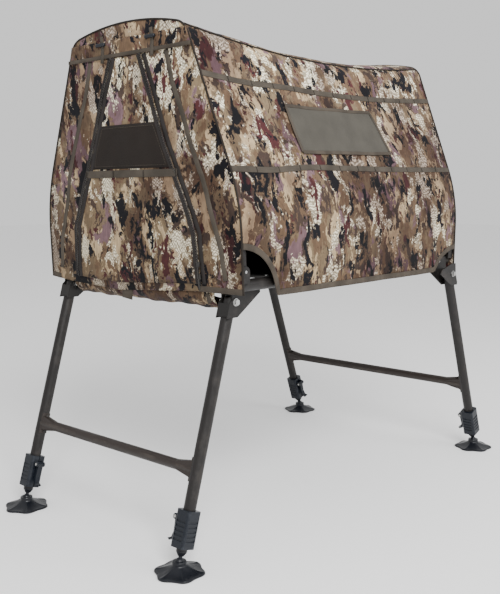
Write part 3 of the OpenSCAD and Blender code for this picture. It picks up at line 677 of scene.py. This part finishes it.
# Top band, with its lower edge bound and two tie ribbons that end in toggles
BAND = (1.031, 1.068)
BAND_LOW_W, BAND_HIGH_W = 0.198, 0.186  # half widths of its lower and upper edges
band = []
for r in range(8):
    z = lerp(*BAND, r / 7)
    w = lerp(BAND_LOW_W, BAND_HIGH_W, r / 7)
    ripple = [WALL_D + 0.0024 + 0.0012 * math.sin(c * 0.7) ** 2 for c in range(49)]
    band.append([end_wall(FRONT, lerp(-w, w, c / 48), z, d) for c, d in enumerate(ripple)])
band_cloth = sheet_grid("top_band_cloth", band, camo("camo_band", 8), "front_bow")
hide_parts("top_band")
front_tape("top_band_binding", [(-BAND_LOW_W, BAND[0] + 0.004), (BAND_LOW_W, BAND[0] + 0.004)], 0.008,
           WALL_D + 0.0040, BINDING, "front_bow")
for s, x in (("left", -0.076), ("right", 0.085)):
    front_tape(s + "_tie_ribbon", [(x, 1.078), (x + 0.003, 1.052), (x - 0.002, 1.022)], 0.010,
               WALL_D + 0.0046, WEBBING, "front_bow", 14)
    barrel = [(x - 0.014, 1.060), (x - 0.011, 1.0605), (x + 0.011, 1.0605), (x + 0.014, 1.060)]
    front_tape(s + "_tie_toggle", barrel, 0.007, WALL_D + 0.0062, PLASTIC, "front_bow", 10, 0.0045)

# Rear wall: the two side webbing rows carried across it
for label, z in (("upper", ROW_HIGH), ("lower", ROW_LOW)):
    w = half_width(z) - 0.004
    path = [end_wall(REAR, lerp(-w, w, k / 50), z, WALL_D + 0.0010) for k in range(51)]
    ribbon(f"rear_{label}_webbing", path, [Vector((0, 1, 0))] * 51, ROW_W, 0.0013, WEBBING, "rear_bow")

# Front skirt under the platform
lo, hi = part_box("front_skirt")
SKIRT_Y, SKIRT_Z = -0.405, 0.5260  # where its curve is measured from
skirt = []
turns = ((-0.0145, 0.020), (-0.016, 0.0), (-0.009, -0.010), (0.005, -0.0212), (0.024, -0.0182), (0.0495, -0.0052))
curve = along(turns, 16)
for y, z in curve:
    skirt.append([Vector((lerp(lo.x, hi.x, c / 60), SKIRT_Y + y,
                          SKIRT_Z + z + 0.0014 * math.sin(c * 0.31) + 0.001 * math.sin(c * 0.9)))
                  for c in range(61)])
skirt_cloth = sheet_grid("front_skirt_cloth", skirt, camo("camo_skirt", 9), "platform")
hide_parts("front_skirt")

# Strap tab and a bound end that hang in front of the skirt
TAB_Y = -0.4216
for name, top, foot, width in (("strap_tab", (-0.037, 0.533), (-0.040, 0.505), 0.034),
                               ("bound_end", (0.213, 0.536), (0.221, 0.516), 0.011)):
    drop = [Vector((lerp(top[0], foot[0], k / 8), TAB_Y, lerp(top[1], foot[1], k / 8))) for k in range(9)]
    ribbon(name, drop, [Vector((0, -1, 0))] * 9, width, 0.0014, BINDING, "platform")

# Mud feet: a webbed shallow cone with a wavy rim, ribs and a raised ball socket
FOOT_R, FOOT_LOBES, SOCKET_R, BALL_Z, FOOT_TURNS = 0.052, 6, 0.0093, 0.022, 96


def foot_profile(turn):
    """Radius and height round one foot's section, from the middle of its underside to the bottom of the socket."""
    lobe = math.cos(FOOT_LOBES * (turn - math.radians(30)))
    rim = FOOT_R - 0.0030 + 0.0030 * lobe
    rib = 0.0016 * max(0.0, lobe) ** 8
    points = [(0.0, 0.0), (rim - 0.0016, 0.0), (rim, 0.0013), (rim - 0.0004, 0.0032),
              (rim - 0.0022, 0.0044 + 0.4 * rib)]
    for k in range(1, 11):
        share = k / 10
        points.append((lerp(rim - 0.0022, 0.0152, share), lerp(0.0044, 0.0160, share ** 1.7) + rib * (1 - share)))
    points += [(0.0142, 0.0176), (0.0140, 0.0236), (0.0134, 0.0247), (0.0122, 0.0250), (0.0094, 0.0250)]
    for angle in range(18, -91, -12):
        a = math.radians(angle)
        points.append((SOCKET_R * math.cos(a), BALL_Z + SOCKET_R * math.sin(a)))
    return points


for corner in ("front_left", "front_right", "rear_left", "rear_right"):
    lo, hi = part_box(corner + "_foot")
    middle = Vector((0.5 * (lo.x + hi.x), 0.5 * (lo.y + hi.y), 0))
    verts, rings = [], 0
    for k in range(FOOT_TURNS):
        turn = 2 * math.pi * k / FOOT_TURNS
        ring = foot_profile(turn)
        rings = len(ring)
        verts += [middle + Vector((r * math.cos(turn), r * math.sin(turn), z)) for r, z in ring]
    faces = [(k * rings + j, (k + 1) % FOOT_TURNS * rings + j, (k + 1) % FOOT_TURNS * rings + j + 1, k * rings + j + 1)
             for k in range(FOOT_TURNS) for j in range(rings - 1)]
    mud_foot = piece(corner + "_mud_foot", verts, faces, FOOT, corner + "_foot_body", soft=False)
    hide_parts(corner + "_foot")

# Deck cloth: stretched tight, with a slight dip between the tubes
lo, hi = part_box("deck_sheet")
deck = [[Vector((lerp(lo.x, hi.x, c / 40) * (1 if 3 < r < 57 else 0.953), lerp(lo.y, hi.y, r / 60),
                 lerp(lo.z, hi.z, 0.5) - 0.0016 * math.sin(math.pi * c / 40) * abs(math.sin(math.pi * 3 * r / 60))))
         for c in range(41)] for r in range(61)]
deck_cloth = sheet_grid("deck_cloth_sheet", deck, DECK, "platform", 0.002)
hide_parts("deck_sheet")

# ---------------------------------------------------------------- floor, light, camera
bpy.ops.mesh.primitive_plane_add(size=30)
floor = bpy.context.object
floor.name = "studio_floor"
floor_mat, _, floor_bsdf = material("studio_floor", 0.9)
floor_bsdf.inputs["Base Color"].default_value = (0.95, 0.95, 0.95, 1)
floor.data.materials.append(floor_mat)
world = bpy.data.worlds.new("studio")
world.use_nodes = True
world.node_tree.nodes["Background"].inputs[0].default_value = (1.0, 1.0, 1.0, 1)
world.node_tree.nodes["Background"].inputs[1].default_value = 0.95
bpy.context.scene.world = world


def soft_light(name, place, target, size, watts):
    data = bpy.data.lights.new(name, "AREA")
    data.size, data.energy = size, watts
    obj = bpy.data.objects.new(name, data)
    obj.location = place
    obj.rotation_euler = (Vector(target) - Vector(place)).to_track_quat("-Z", "Y").to_euler()
    bpy.context.scene.collection.objects.link(obj)


soft_light("key_light", (2.9, -2.1, 3.0), (0, 0, 0.6), 1.8, 210)
soft_light("fill_light", (3.2, 0.6, 2.2), (0, 0, 0.6), 2.4, 60)

AZIMUTH, ELEVATION, ROLL = (math.radians(a) for a in (41.84, 7.32, -0.31))
level = math.cos(ELEVATION)
back_dir = Vector((math.sin(AZIMUTH) * level, -math.cos(AZIMUTH) * level, math.sin(ELEVATION)))
right = Vector((math.cos(AZIMUTH), math.sin(AZIMUTH), 0))
up = back_dir.cross(right)
right, up = right * math.cos(ROLL) + up * math.sin(ROLL), up * math.cos(ROLL) - right * math.sin(ROLL)
camera = bpy.data.objects.new("camera", bpy.data.cameras.new("camera"))
camera.data.lens, camera.data.sensor_width = 50.37, 36
camera.data.shift_x, camera.data.shift_y = 0.0007, 0.001
camera.matrix_world = Matrix.Translation((1.405, -1.623, 0.744)) @ Matrix((right, up, back_dir)).transposed().to_4x4()
bpy.context.scene.collection.objects.link(camera)
bpy.context.scene.camera = camera
